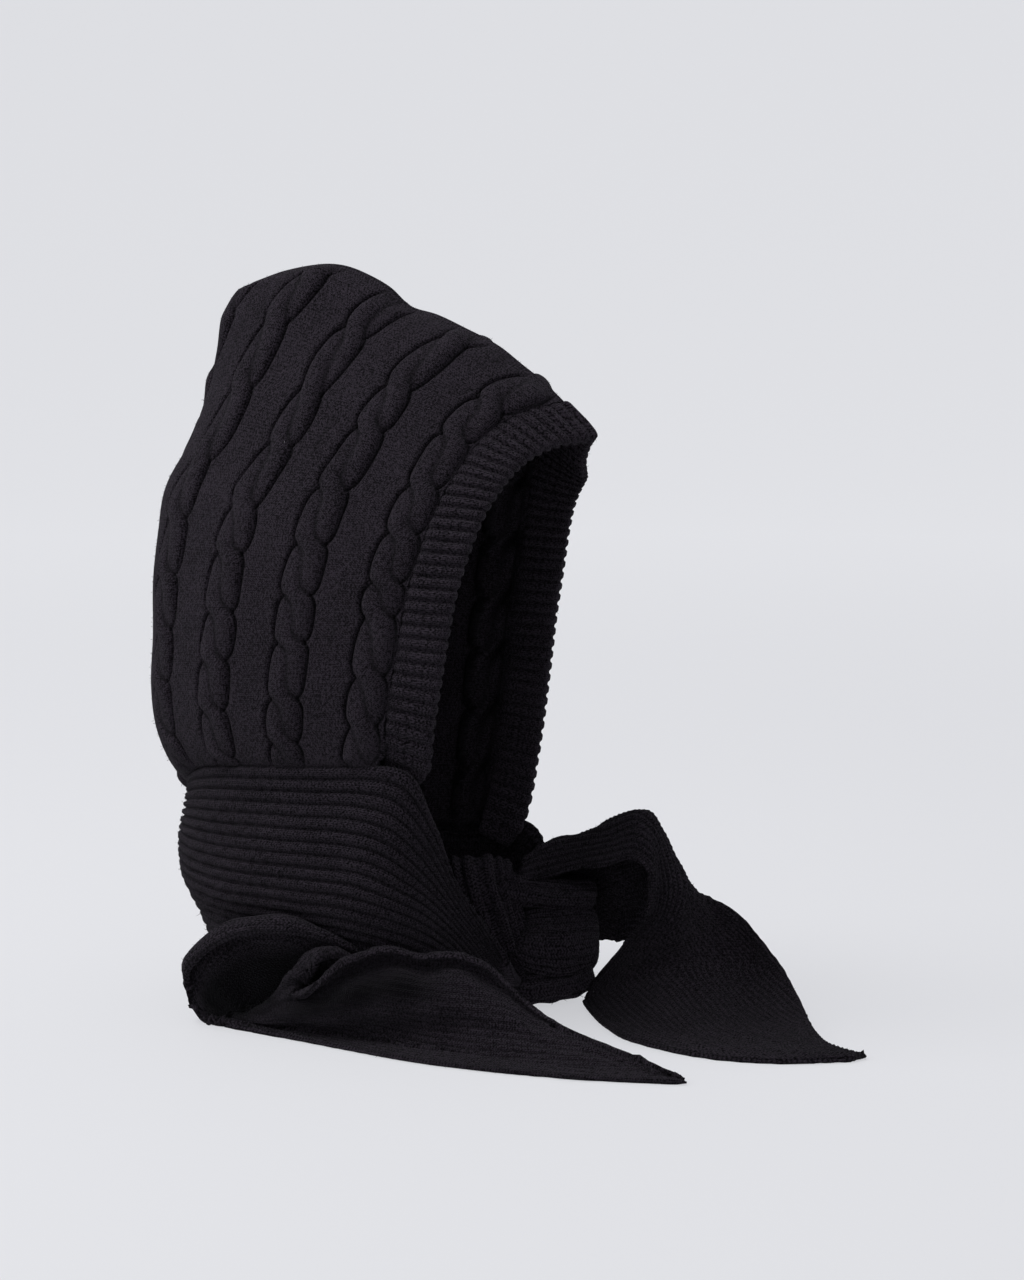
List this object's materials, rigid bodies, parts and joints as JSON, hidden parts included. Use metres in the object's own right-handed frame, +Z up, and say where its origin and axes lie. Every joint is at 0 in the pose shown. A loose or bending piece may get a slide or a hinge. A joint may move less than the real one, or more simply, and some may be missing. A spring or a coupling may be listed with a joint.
{
  "type": "snood hood",
  "caption": "Deep cable-knit hood with a folded rib face trim, a rib scarf sewn round the neck edge, tied in a half knot at the throat with two free ends lying on the floor",
  "frame": {"origin": "middle of the bounding box's underside, at the floor", "axes": "+Z up; the face opening looks to -Y; +X is the wearer's left"},
  "size_m": [0.2126, 0.4586, 0.446],
  "materials": {
    "cable_knit": "brushed wool-like yarn, matt with a soft haze of fibres",
    "trim_rib": "one by one rib folded double, matt",
    "scarf_rib": "plain rib, matt with a soft haze of fibres"
  },
  "bodies": {
    "root": {"hood": "cable_knit", "face_trim": "trim_rib", "neck_band": "scarf_rib", "tie_knot": "scarf_rib", "tie_end_right": "scarf_rib", "tie_end_left": "scarf_rib"}
  },
  "joints": []
}
